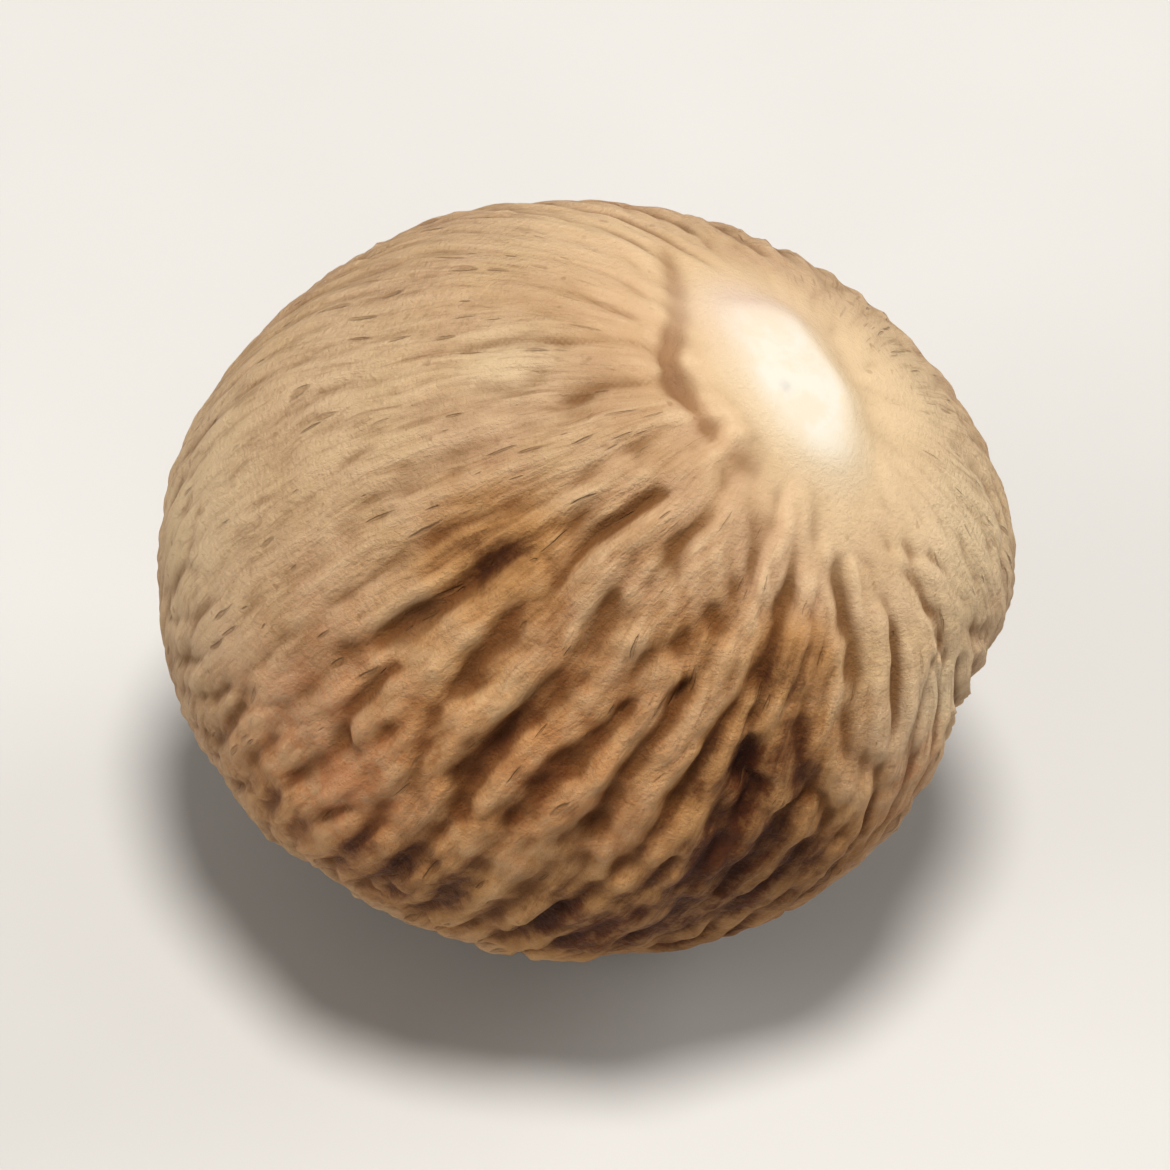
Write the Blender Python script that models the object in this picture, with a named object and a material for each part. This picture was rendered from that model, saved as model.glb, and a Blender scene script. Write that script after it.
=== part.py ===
"""One whole nutmeg: the dried, shelled kernel, as a single solid.

Run it with blender --background --python part.py, or from Blender's text editor.
Lengths are in metres, angles in degrees, and +Z is up.

The kernel is first shaped in its own frame, as directions seen from its middle. The pole (+Z)
is the scar where the seed was fixed to its stalk, polar angles count down from it, and
longitude 0 is the front. Nearly every crease of a nutmeg runs from the scar towards the pit
at the other end, so a crease is written as a stretch of one longitude. The shaped kernel is
then tipped over to the way it rests, and gets a small flat spot underneath.
"""

import math
import random
from collections import namedtuple

import bmesh
import bpy
import numpy as np
from mathutils import Euler, Matrix, Vector, noise

MM = 0.001

# The body, an ellipsoid that is a little fuller at the scar end.
LENGTH = 26.0 * MM
BREADTH = 23.4 * MM
THICKNESS = 20.4 * MM
FULLNESS = 0.04
LEAN_OF_BODY = 7.5
LEAN_LONGITUDE = 73.0
BROAD_LONGITUDE = 120.0
SKIN_RADIUS = 11.6 * MM

# The mesh of the body, with its lines along the creases.
MERIDIANS = 112
RINGS = 43
SCAR_RINGS = 3
JUST_OUTSIDE_A_RING = 0.1
OVAL_RINGS_WITHIN = 14.0
ROUND_RINGS_BEYOND = 50.0
SHARP_EDGE_ANGLE = 60.0

# How it rests: turned from its own frame, and flattened where it touches.
ATTITUDE = Euler((math.radians(-29.0), math.radians(-10.0), math.radians(-125.0)))
FLAT_SPOT_DEPTH = 0.45 * MM
SMOOTH_ROUND_FOOT = 17.0
CREASES_FULL_AFTER = 8.0
ON_THE_CUT = 1e-7

# The stalk scar, a smooth oval boss, and the groove that hugs one side of it. The boss slopes
# down round the scar, and the creases start beyond it: both are told as a share of the scar.
SCAR_CENTRE = (-103.0, 2.0)
SCAR_LONG_WAY = 72.0
SCAR_LENGTH = 6.4 * MM
SCAR_WIDTH = 3.5 * MM
SCAR_RISE = 0.32 * MM
BOSS_REACH = 1.25
BOSS_SLOPE = 0.55
CREASES_BEGIN = 1.0
CREASES_FADE_IN = 0.6
GROOVE_ROUTE = ((-114.0, 34.0), (-86.0, 20.0), (-50.0, 18.0), (-10.0, 16.0), (34.0, 18.0))
GROOVE_WIDTH = 0.42 * MM
GROOVE_DEPTH = 0.50 * MM

# The pit at the other end, and the low rim round it. The shares are of the pit's radius.
PIT_CENTRE = (-160.0, 171.0)
PIT_RADIUS = 1.15 * MM
PIT_DEPTH = 1.30 * MM
PIT_MOUTH = 1.25
PIT_WALL = 0.7
RIM_HEIGHT = 0.22 * MM
RIM_REACH = 1.7
RIM_SPREAD = 0.5

# Broad swellings (+) and hollows (-): longitude, polar angle, spread in degrees, height.
Swelling = namedtuple("Swelling", "longitude polar spread height")
SWELLINGS = (
    Swelling(140.0, 46.0, 26.0, 0.45 * MM),
    Swelling(112.0, 74.0, 15.0, -1.05 * MM),
    Swelling(98.0, 52.0, 9.0, -0.35 * MM),
    Swelling(48.0, 62.0, 13.0, -0.45 * MM),
    Swelling(-6.0, 55.0, 16.0, -0.25 * MM),
    Swelling(-60.0, 62.0, 30.0, 0.22 * MM),
    Swelling(12.0, 100.0, 20.0, 0.30 * MM),
    Swelling(-150.0, 95.0, 28.0, -0.35 * MM),
    Swelling(170.0, 112.0, 22.0, 0.30 * MM),
    Swelling(106.0, 141.0, 13.0, 0.34 * MM),
)
LUMP_SIZE = 6.5 * MM
LUMP_HEIGHT = 0.16 * MM

# Creases: longitude at the start, polar angles of both ends, how far the longitude drifts on
# the way, half the width and the depth.
Crease = namedtuple("Crease", "longitude start end drift width depth")
FRONT_CREASES = (
    Crease(38.0, 17.0, 80.0, 14.0, 0.48 * MM, 0.72 * MM),
    Crease(58.0, 19.0, 52.0, 9.0, 0.42 * MM, 0.55 * MM),
    Crease(88.0, 21.0, 54.0, 6.0, 0.40 * MM, 0.50 * MM),
    Crease(77.0, 32.0, 58.0, 1.0, 0.34 * MM, 0.34 * MM),
    Crease(-2.0, 24.0, 50.0, -1.0, 0.50 * MM, 0.52 * MM),
    Crease(18.0, 24.0, 43.0, -17.0, 0.34 * MM, 0.38 * MM),
    Crease(10.0, 37.0, 58.0, 4.0, 0.40 * MM, 0.55 * MM),
    Crease(-11.0, 45.0, 78.0, 1.0, 0.52 * MM, 0.54 * MM),
    Crease(-7.0, 47.0, 76.0, 13.0, 0.44 * MM, 0.60 * MM),
    Crease(-9.0, 68.0, 96.0, 9.0, 0.44 * MM, 0.45 * MM),
    Crease(13.0, 52.0, 92.0, 1.0, 0.50 * MM, 0.55 * MM),
    Crease(24.0, 41.0, 90.0, -2.0, 0.50 * MM, 0.60 * MM),
    Crease(26.0, 35.0, 84.0, 8.0, 0.46 * MM, 0.50 * MM),
    Crease(39.0, 38.0, 74.0, 3.0, 0.36 * MM, 0.45 * MM),
    Crease(57.0, 37.0, 76.0, -6.0, 0.42 * MM, 0.62 * MM),
    Crease(66.0, 55.0, 92.0, 1.0, 0.44 * MM, 0.50 * MM),
    Crease(74.0, 55.0, 88.0, 5.0, 0.42 * MM, 0.45 * MM),
    Crease(95.0, 50.0, 84.0, 20.0, 0.60 * MM, 0.60 * MM),
    Crease(-21.0, 37.0, 53.0, 5.0, 0.40 * MM, 0.34 * MM),
    Crease(-33.0, 40.0, 72.0, 3.0, 0.34 * MM, 0.22 * MM),
    Crease(-37.0, 25.0, 42.0, -1.0, 0.34 * MM, 0.20 * MM),
    Crease(-49.0, 50.0, 82.0, -3.0, 0.36 * MM, 0.18 * MM),
    Crease(-58.0, 26.0, 50.0, 5.0, 0.36 * MM, 0.24 * MM),
    Crease(-68.0, 18.0, 38.0, -7.0, 0.36 * MM, 0.26 * MM),
    Crease(-80.0, 36.0, 70.0, -5.0, 0.40 * MM, 0.24 * MM),
)

# The seam that runs all the way from the scar to the pit.
SEAM = Crease(197.0, 14.0, 166.0, 6.0, 0.55 * MM, 0.40 * MM)

# The creases of the sides and the back come in tiers, from the scar down to the pit. Each
# tier has its longitudes, its polar angles, how many creases it holds and how deep they are.
Tier = namedtuple("Tier", "first last start end count depth")
TIERS = (
    Tier(108.0, 262.0, 28.0, 62.0, 13, 0.36 * MM),
    Tier(118.0, 304.0, 60.0, 104.0, 19, 0.46 * MM),
    Tier(-60.0, 112.0, 94.0, 134.0, 17, 0.40 * MM),
    Tier(112.0, 300.0, 100.0, 142.0, 18, 0.46 * MM),
    Tier(-180.0, 180.0, 136.0, 164.0, 18, 0.36 * MM),
)
TIER_CREASE_WIDTH = 0.54 * MM
TIER_SEED = 7

# How far chance moves a crease of a tier. Places are in shares of the tier, drift in degrees.
PLACE_SHAKE = 0.28
START_EARLIER = 0.22
END_SHAKE = (-0.25, 0.22)
DRIFT_SHAKE = 7.0
WIDTH_SHAKE = (0.8, 1.25)
DEPTH_SHAKE = (0.65, 1.25)

# How far all creases wander sideways, in degrees, and how far their ends run out, as a share.
WANDER = 2.6
WANDER_SIZE = 4.2 * MM
TAPER = 0.22

# Plain stand-ins for the finished looks.
SKIN_COLOUR = (0.43, 0.26, 0.13)
SKIN_ROUGHNESS = 0.72
SCAR_COLOUR = (0.80, 0.66, 0.44)
SCAR_ROUGHNESS = 0.45


def direction(longitude, polar):
    """The unit vector at this longitude and polar angle."""
    lon = math.radians(longitude)
    pol = math.radians(polar)
    return Vector((math.sin(pol) * math.cos(lon), math.sin(pol) * math.sin(lon), math.cos(pol)))


def fade(x):
    """A smooth step from 0 at 0 to 1 at 1."""
    x = np.clip(x, 0.0, 1.0)
    return x * x * (3.0 - 2.0 * x)


def smooth_noise(directions, size):
    """Noise between about -1 and 1 whose lumps measure size on the skin."""
    scale = SKIN_RADIUS / size
    return np.array([noise.noise(Vector(d) * scale) for d in directions])


def angle_between(directions, centre):
    """Each direction's angle from the unit vector centre, in degrees."""
    return np.degrees(np.arccos(np.clip(directions @ np.array(centre), -1.0, 1.0)))


def places(directions):
    """The longitude and the polar angle of each direction, in degrees."""
    longitude = np.degrees(np.arctan2(directions[:, 1], directions[:, 0]))
    polar = np.degrees(np.arccos(np.clip(directions[:, 2], -1.0, 1.0)))
    return longitude, polar


def tier_creases(tier, rng):
    """The creases of one tier, evenly spread and then shaken, so that no two are alike."""
    spacing = (tier.last - tier.first) / tier.count
    reach = tier.end - tier.start
    for k in range(tier.count):
        yield Crease(
            longitude=tier.first + spacing * (k + 0.5 + rng.uniform(-PLACE_SHAKE, PLACE_SHAKE)),
            start=tier.start - reach * rng.uniform(0.0, START_EARLIER),
            end=tier.end + reach * rng.uniform(*END_SHAKE),
            drift=rng.uniform(-DRIFT_SHAKE, DRIFT_SHAKE),
            width=TIER_CREASE_WIDTH * rng.uniform(*WIDTH_SHAKE),
            depth=tier.depth * rng.uniform(*DEPTH_SHAKE),
        )


def all_creases():
    """The creases of the front and those of every tier."""
    rng = random.Random(TIER_SEED)
    found = list(FRONT_CREASES)
    for tier in TIERS:
        found.extend(tier_creases(tier, rng))
    return found


def crease_depth(longitude, polar, crease):
    """How deep one crease presses the skin at each longitude and polar angle."""
    along = (polar - crease.start) / (crease.end - crease.start)
    turn = longitude - crease.longitude - crease.drift * along
    turn = np.radians((turn + 180.0) % 360.0 - 180.0)
    beside = turn * np.sin(np.radians(polar)) * SKIN_RADIUS
    ends = fade(along / TAPER) * fade((1.0 - along) / TAPER)
    return crease.depth * ends * np.exp(-((beside / crease.width) ** 2))


def route_depth(directions, route, width, depth):
    """How deep a groove along a route of (longitude, polar angle) points presses the skin."""
    points = np.array([direction(*point) for point in route])
    nearest = np.full(len(directions), np.inf)
    for start, end in zip(points[:-1], points[1:]):
        step = end - start
        share = np.clip((directions - start) @ step / (step @ step), 0.0, 1.0)
        gap = directions - (start + share[:, None] * step)
        nearest = np.minimum(nearest, np.linalg.norm(gap, axis=1))
    return depth * np.exp(-((nearest * SKIN_RADIUS / width) ** 2))


def scar_reach(directions):
    """How far out each direction lies from the scar's middle: 0 there, and 1 on its edge."""
    centre = np.array(direction(*SCAR_CENTRE))
    long_way = np.array(direction(SCAR_LONG_WAY, 90.0))
    long_way -= centre * (long_way @ centre)
    long_way /= np.linalg.norm(long_way)
    wide_way = np.cross(centre, long_way)
    u = directions @ long_way * SKIN_RADIUS / (SCAR_LENGTH / 2)
    v = directions @ wide_way * SKIN_RADIUS / (SCAR_WIDTH / 2)
    behind = directions @ centre < 0
    return np.where(behind, np.inf, np.hypot(u, v))


def body_stretch():
    """The matrix that stretches a unit sphere into the plain body, with its lean."""
    towards = Matrix.Rotation(math.radians(LEAN_LONGITUDE), 3, "Z")
    lean = Matrix.Rotation(math.radians(LEAN_OF_BODY), 3, "Y")
    broad = Matrix.Rotation(math.radians(BROAD_LONGITUDE - LEAN_LONGITUDE), 3, "Z")
    axes = towards @ lean @ broad
    sizes = Matrix.Diagonal((BREADTH / 2, THICKNESS / 2, LENGTH / 2))
    return axes @ sizes @ axes.transposed()


def foot_direction():
    """The direction of the place that touches the ground once the kernel is tipped over."""
    down = ATTITUDE.to_matrix().transposed() @ Vector((0.0, 0.0, -1.0))
    return (body_stretch() @ down).normalized()


def relief(directions):
    """How far the skin stands out from the plain body, in metres, for each direction."""
    longitude, polar = places(directions)
    longitude += WANDER * smooth_noise(directions, WANDER_SIZE)

    height = LUMP_HEIGHT * smooth_noise(directions, LUMP_SIZE)
    for swelling in SWELLINGS:
        gap = angle_between(directions, direction(swelling.longitude, swelling.polar))
        height += swelling.height * np.exp(-((gap / swelling.spread) ** 2))

    # Where creases cross, the deepest counts most, as in folded skin.
    pressed = sum(crease_depth(longitude, polar, crease) ** 3 for crease in all_creases())
    pressed = np.cbrt(pressed)
    reach = scar_reach(directions)
    pressed *= fade((reach - CREASES_BEGIN) / CREASES_FADE_IN)
    from_foot = angle_between(directions, foot_direction())
    pressed *= fade((from_foot - SMOOTH_ROUND_FOOT) / CREASES_FULL_AFTER)
    pressed = np.maximum(pressed, crease_depth(longitude, polar, SEAM))
    groove = route_depth(directions, GROOVE_ROUTE, GROOVE_WIDTH, GROOVE_DEPTH)
    pressed = np.maximum(pressed, groove)

    from_pit = np.radians(angle_between(directions, direction(*PIT_CENTRE)))
    from_pit *= SKIN_RADIUS / PIT_RADIUS
    pit = PIT_DEPTH * fade((PIT_MOUTH - from_pit) / PIT_WALL)
    rim = RIM_HEIGHT * np.exp(-(((from_pit - RIM_REACH) / RIM_SPREAD) ** 2))

    boss = SCAR_RISE * fade((BOSS_REACH - reach) / BOSS_SLOPE)
    return height - pressed - pit + rim + boss


def kernel_points(directions):
    """Where each direction meets the skin, in the kernel's own frame."""
    stretch = np.array(body_stretch())
    points = directions @ stretch.T
    points[:, :2] *= 1.0 + FULLNESS * directions[:, 2:]
    outward = directions @ np.linalg.inv(stretch)
    outward /= np.linalg.norm(outward, axis=1, keepdims=True)
    return points + outward * relief(directions)[:, None]


def settle_rings(directions):
    """Draws the rings near the pole into ovals, so that one of them is the scar's edge."""
    longitude, polar = places(directions)
    near = fade((ROUND_RINGS_BEYOND - polar) / (ROUND_RINGS_BEYOND - OVAL_RINGS_WITHIN))
    across = np.radians(longitude - SCAR_LONG_WAY)
    slim = math.sqrt(SCAR_LENGTH / SCAR_WIDTH)
    oval = 1.0 / np.hypot(np.cos(across) / slim, np.sin(across) * slim)
    polar = np.radians(polar * (1.0 + near * (oval - 1.0)))
    turn = np.radians(longitude)
    side = np.sin(polar)
    settled = np.column_stack((side * np.cos(turn), side * np.sin(turn), np.cos(polar)))
    settled += near[:, None] * np.array(direction(*SCAR_CENTRE) - Vector((0.0, 0.0, 1.0)))
    return settled / np.linalg.norm(settled, axis=1, keepdims=True)


def flatten_foot(bm):
    """Cuts the small flat spot that the kernel rests on, and closes it with one face."""
    floor = min(vert.co.z for vert in bm.verts) + FLAT_SPOT_DEPTH
    cut = bmesh.ops.bisect_plane(
        bm,
        geom=bm.verts[:] + bm.edges[:] + bm.faces[:],
        dist=ON_THE_CUT,
        plane_co=(0.0, 0.0, floor),
        plane_no=(0.0, 0.0, -1.0),
        clear_outer=True,
    )
    rim = [item for item in cut["geom_cut"] if isinstance(item, bmesh.types.BMEdge)]
    bmesh.ops.contextual_create(bm, geom=rim)


def centre_on_foot(bm):
    """Moves the kernel so that the middle of its box's bottom is at the origin."""
    points = np.array([vert.co for vert in bm.verts])
    low = points.min(axis=0)
    high = points.max(axis=0)
    middle = Vector(((low[0] + high[0]) / 2, (low[1] + high[1]) / 2, low[2]))
    bmesh.ops.translate(bm, vec=-middle, verts=bm.verts)


def make_material(name, colour, roughness):
    """A plain material of this colour, given as linear red, green and blue."""
    material = bpy.data.materials.new(name)
    material.use_nodes = True
    shader = material.node_tree.nodes["Principled BSDF"]
    shader.inputs["Base Color"].default_value = (*colour, 1.0)
    shader.inputs["Roughness"].default_value = roughness
    shader.inputs["Metallic"].default_value = 0.0
    material.diffuse_color = (*colour, 1.0)
    return material


def build_kernel(collection):
    """The nutmeg: a sphere whose every point is moved to its place on the skin."""
    bm = bmesh.new()
    bmesh.ops.create_uvsphere(bm, u_segments=MERIDIANS, v_segments=RINGS, radius=1.0)
    directions = np.array([vert.co.normalized() for vert in bm.verts])
    scar_height = math.cos(math.pi * (SCAR_RINGS + JUST_OUTSIDE_A_RING) / RINGS)
    for face in bm.faces:
        face.material_index = int(min(vert.co.z for vert in face.verts) > scar_height)
    directions = settle_rings(directions)
    for vert, point in zip(bm.verts, kernel_points(directions)):
        vert.co = point
    bmesh.ops.rotate(bm, matrix=ATTITUDE.to_matrix(), verts=bm.verts)
    flatten_foot(bm)
    centre_on_foot(bm)
    bmesh.ops.triangulate(bm, faces=[face for face in bm.faces if len(face.verts) == 4])

    mesh = bpy.data.meshes.new("nutmeg")
    bm.to_mesh(mesh)
    bm.free()
    mesh.shade_smooth()
    mesh.set_sharp_from_angle(angle=math.radians(SHARP_EDGE_ANGLE))
    mesh.materials.append(make_material("kernel_skin", SKIN_COLOUR, SKIN_ROUGHNESS))
    mesh.materials.append(make_material("stalk_scar", SCAR_COLOUR, SCAR_ROUGHNESS))
    kernel = bpy.data.objects.new("nutmeg", mesh)
    collection.objects.link(kernel)
    return kernel


def main():
    for obj in list(bpy.data.objects):
        bpy.data.objects.remove(obj, do_unlink=True)
    collection = bpy.data.collections.new("whole nutmeg")
    bpy.context.scene.collection.children.link(collection)
    kernel = build_kernel(collection)
    size = [round(side / MM, 2) for side in kernel.dimensions]
    print(f"nutmeg: {len(kernel.data.polygons)} faces, {size} mm")


main()
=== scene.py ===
# %% [markdown]
# # A whole nutmeg, from a plain body to a finished skin
#
# A nutmeg is the dried kernel of a fruit. It is an egg about as big as the end of a thumb, with a
# pale scar where the stalk held it, a dark pit at the other end, and a brown skin that folded up
# as the kernel shrank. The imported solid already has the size, the way it rests and the big
# creases. This lesson makes the finer skin around that solid, then its colours, and lights it.
#
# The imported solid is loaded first, because everything after this takes its place from it.

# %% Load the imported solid
import math
import random
from collections import namedtuple

import bmesh
import bpy
import numpy as np
from mathutils import Euler, Matrix, Vector, noise


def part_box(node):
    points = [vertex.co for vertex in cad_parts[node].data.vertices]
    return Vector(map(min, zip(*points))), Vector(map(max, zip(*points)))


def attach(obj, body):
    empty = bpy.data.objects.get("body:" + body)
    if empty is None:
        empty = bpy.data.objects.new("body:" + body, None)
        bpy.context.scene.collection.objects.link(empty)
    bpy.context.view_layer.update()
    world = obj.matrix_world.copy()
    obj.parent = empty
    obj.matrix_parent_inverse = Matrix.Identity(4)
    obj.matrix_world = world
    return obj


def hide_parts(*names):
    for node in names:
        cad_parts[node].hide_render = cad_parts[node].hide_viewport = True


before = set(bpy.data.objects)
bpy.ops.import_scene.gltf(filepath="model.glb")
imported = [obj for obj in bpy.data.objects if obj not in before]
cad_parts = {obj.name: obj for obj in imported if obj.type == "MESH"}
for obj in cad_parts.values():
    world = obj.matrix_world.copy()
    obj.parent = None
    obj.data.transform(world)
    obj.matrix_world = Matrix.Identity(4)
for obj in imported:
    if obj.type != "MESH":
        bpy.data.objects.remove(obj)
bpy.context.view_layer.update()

MM = 0.001
NUT_LOW, NUT_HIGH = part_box("nutmeg")
print("the solid's box in mm:", [round(side / MM, 2) for side in NUT_HIGH - NUT_LOW])

# %% [markdown]
# ## Directions from the middle of the seed
#
# Nearly every fold of a nutmeg runs from the stalk scar towards the pit, as meridians run on a
# globe. So the skin is described on a globe whose north pole is the scar: a place is a longitude
# and a polar angle, counted down from the pole. Writing the folds as points in space would work
# too, but then each one would need its own list of points; on the globe a fold is one line long.

# %% Places on the globe


def direction(longitude, polar):
    """The unit vector at this longitude and polar angle, both in degrees."""
    lon = math.radians(longitude)
    pol = math.radians(polar)
    return np.array((math.sin(pol) * math.cos(lon), math.sin(pol) * math.sin(lon), math.cos(pol)))


def places(directions):
    """The longitude and the polar angle of each direction, in degrees."""
    longitude = np.degrees(np.arctan2(directions[:, 1], directions[:, 0]))
    polar = np.degrees(np.arccos(np.clip(directions[:, 2], -1.0, 1.0)))
    return longitude, polar


def angle_between(directions, centre):
    """Each direction's angle from one unit vector, in degrees."""
    return np.degrees(np.arccos(np.clip(directions @ centre, -1.0, 1.0)))


def fade(x):
    """A smooth step from 0 at 0 to 1 at 1."""
    x = np.clip(x, 0.0, 1.0)
    return x * x * (3.0 - 2.0 * x)


def weakened(share, least):
    """The share lifted, so that it runs from least to 1 instead of from 0 to 1."""
    return least + (1.0 - least) * share


def show_range(name, heights):
    """Prints the lowest and the highest of many heights."""
    print(name, "in mm, lowest and highest:", np.round([heights.min() / MM, heights.max() / MM], 2))


# %% [markdown]
# ## The plain body
#
# Under its folds the kernel is an ellipsoid, a little fuller at the scar end and leaning
# slightly off its own long axis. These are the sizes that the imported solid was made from, so the
# skin made here lies on it. Stretching a sphere with one matrix keeps the lean exact.

# %% The body's sizes
LENGTH = 26.0 * MM
BREADTH = 23.4 * MM
THICKNESS = 20.4 * MM
FULLNESS = 0.04
LEAN_OF_BODY = 7.5
LEAN_LONGITUDE = 73.0
BROAD_LONGITUDE = 120.0
SKIN_RADIUS = 11.6 * MM
ATTITUDE = Euler((math.radians(-29.0), math.radians(-10.0), math.radians(-125.0)))


def body_stretch():
    """The matrix that stretches a unit sphere into the plain body, with its lean."""
    towards = Matrix.Rotation(math.radians(LEAN_LONGITUDE), 3, "Z")
    lean = Matrix.Rotation(math.radians(LEAN_OF_BODY), 3, "Y")
    broad = Matrix.Rotation(math.radians(BROAD_LONGITUDE - LEAN_LONGITUDE), 3, "Z")
    axes = towards @ lean @ broad
    sizes = Matrix.Diagonal((BREADTH / 2, THICKNESS / 2, LENGTH / 2))
    return np.array(axes @ sizes @ axes.transposed())


STRETCH = body_stretch()
DOWN = np.array(ATTITUDE.to_matrix().transposed() @ Vector((0.0, 0.0, -1.0)))
FOOT = STRETCH @ DOWN / np.linalg.norm(STRETCH @ DOWN)
print("the kernel touches the floor at longitude, polar angle:",
      [round(float(angle[0]), 1) for angle in places(FOOT[None, :])])

# %% [markdown]
# ## An even mesh for the skin
#
# A globe of meridians and rings has crowded, pinched faces at its poles, just where the scar and
# the pit are. A cube whose faces are cut into a grid and then blown up into a sphere has nearly
# equal square faces everywhere, so the same fine fold can be drawn at any place. Taking the
# tangent of each coordinate first evens the squares out. The six faces of the cube also give a
# clean map of six squares for baking.

# %% A cube cut into a grid
CELLS_ACROSS_A_FACE = 124
SQUARE_CORNERS = 4
MAP_SQUARES_ACROSS = 3
MAP_SQUARES_UP = 2
MAP_MARGIN = 0.02


def cube_grid():
    """A mesh of a cube from -1 to 1, with each of its faces cut into a grid."""
    bm = bmesh.new()
    bmesh.ops.create_cube(bm, size=2.0)
    cuts = CELLS_ACROSS_A_FACE - 1
    bmesh.ops.subdivide_edges(bm, edges=bm.edges[:], cuts=cuts, use_grid_fill=True)
    mesh = bpy.data.meshes.new("nutmeg_kernel")
    bm.to_mesh(mesh)
    bm.free()
    return mesh


def new_object(name, data):
    """An object in the scene that shows this mesh, lamp or camera."""
    made = bpy.data.objects.new(name, data)
    bpy.context.scene.collection.objects.link(made)
    return made


def points_of(mesh):
    """The mesh's points as an array with one row each."""
    found = np.empty(len(mesh.vertices) * 3)
    mesh.vertices.foreach_get("co", found)
    return found.reshape(-1, 3)


def add_cube_map(mesh, cube):
    """A UV map in which each face of the cube is one of six squares, three by two."""
    corners = np.empty(len(mesh.loops), np.int64)
    mesh.loops.foreach_get("vertex_index", corners)
    centres = np.empty(len(mesh.polygons) * 3)
    mesh.polygons.foreach_get("center", centres)
    centres = centres.reshape(-1, 3)
    faces = np.arange(len(centres))
    axis = np.abs(centres).argmax(axis=1)
    positive = np.repeat(centres[faces, axis] > 0, SQUARE_CORNERS)
    axis = np.repeat(axis, SQUARE_CORNERS)
    spot = cube[corners]
    across = spot[np.arange(len(spot)), (axis + 1) % 3]
    upward = spot[np.arange(len(spot)), (axis + 2) % 3]
    inside = 1.0 - 2.0 * MAP_MARGIN
    u = (axis + MAP_MARGIN + inside * (across + 1.0) / 2.0) / MAP_SQUARES_ACROSS
    v = (positive + MAP_MARGIN + inside * (upward + 1.0) / 2.0) / MAP_SQUARES_UP
    layer = mesh.uv_layers.new(name="OFBake")
    layer.uv.foreach_set("vector", np.column_stack((u, v)).astype(np.float32).ravel())


kernel_mesh = cube_grid()
cube_points = points_of(kernel_mesh)
add_cube_map(kernel_mesh, cube_points)
skin = np.tan(cube_points * math.pi / 4.0)
skin /= np.linalg.norm(skin, axis=1, keepdims=True)
longitude, polar = places(skin)
print(len(skin), "points,", len(kernel_mesh.polygons), "square faces")

# %% [markdown]
# ## Noise
#
# Nothing on a dried kernel is even, so most effects below are shaken by noise. Noise from a
# point's place in space has no seam, unlike noise from longitude, which would tear where 180
# degrees meets -180.

# %% Noise over the skin


def smooth_noise(directions, size, shift=0.0):
    """Noise from about -1 to 1, in lumps about size across. Each shift gives another pattern."""
    scale = SKIN_RADIUS / size
    offset = Vector((shift, shift, shift))
    return np.array([noise.noise(Vector(d) * scale + offset) for d in directions])


# %% [markdown]
# ## Broad form
#
# A kernel dries unevenly: here it keeps a shoulder beside the scar, there it sinks in. Each
# swelling or hollow is a soft bell of height round one place. These are the same ones as in the
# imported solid.

# %% Swellings and hollows
# longitude, polar angle and spread in degrees, height in mm
SWELLINGS = (
    (140, 46, 26, 0.45),
    (112, 74, 15, -1.05),
    (98, 52, 9, -0.35),
    (48, 62, 13, -0.45),
    (-6, 55, 16, -0.25),
    (-60, 62, 30, 0.22),
    (12, 100, 20, 0.30),
    (-150, 95, 28, -0.35),
    (170, 112, 22, 0.30),
    (106, 141, 13, 0.34),
)
LUMP_SIZE = 6.5 * MM
LUMP_HEIGHT = 0.16 * MM


def bell(directions, longitude, polar, spread):
    """1 at one place, falling smoothly to 0 over a spread in degrees."""
    gap = angle_between(directions, direction(longitude, polar))
    return np.exp(-((gap / spread) ** 2))


def broad_form(directions):
    """The height of the swellings, the hollows and the soft lumps between them."""
    height = LUMP_HEIGHT * smooth_noise(directions, LUMP_SIZE)
    for *place, rise in SWELLINGS:
        height += rise * MM * bell(directions, *place)
    return height


form = broad_form(skin)
show_range("broad form", form)

# %% [markdown]
# ## The big creases
#
# The front has deep creases that fan out from the scar, and each is listed, because the
# eye knows them one by one. Nobody would miss a crease of the back or the sides, so those come in
# tiers from a seeded random generator, exactly as in the imported solid. A crease is a stretch of
# one meridian that drifts a little sideways. Dried skin folds rather than dents, so a crease here
# is only a shallow cut, and it also gathers the skin on both sides of it: there the folds of the
# next steps stand higher, with a valley held on the crease.

# %% The creases of the front
Crease = namedtuple("Crease", "longitude start end drift width depth")
# longitude, start, end and drift in degrees, width and depth in mm
FRONT_ROWS = (
    (38, 17, 80, 14, 0.48, 0.72),
    (58, 19, 52, 9, 0.42, 0.55),
    (88, 21, 54, 6, 0.40, 0.50),
    (77, 32, 58, 1, 0.34, 0.34),
    (-2, 24, 50, -1, 0.50, 0.52),
    (18, 24, 43, -17, 0.34, 0.38),
    (10, 37, 58, 4, 0.40, 0.55),
    (-11, 45, 78, 1, 0.52, 0.54),
    (-7, 47, 76, 13, 0.44, 0.60),
    (-9, 68, 96, 9, 0.44, 0.45),
    (13, 52, 92, 1, 0.50, 0.55),
    (24, 41, 90, -2, 0.50, 0.60),
    (26, 35, 84, 8, 0.46, 0.50),
    (39, 38, 74, 3, 0.36, 0.45),
    (57, 37, 76, -6, 0.42, 0.62),
    (66, 55, 92, 1, 0.44, 0.50),
    (74, 55, 88, 5, 0.42, 0.45),
    (95, 50, 84, 20, 0.60, 0.60),
    (-21, 37, 53, 5, 0.40, 0.34),
    (-33, 40, 72, 3, 0.34, 0.22),
    (-37, 25, 42, -1, 0.34, 0.20),
    (-49, 50, 82, -3, 0.36, 0.18),
    (-58, 26, 50, 5, 0.36, 0.24),
    (-68, 18, 38, -7, 0.36, 0.26),
    (-80, 36, 70, -5, 0.40, 0.24),
)
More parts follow.
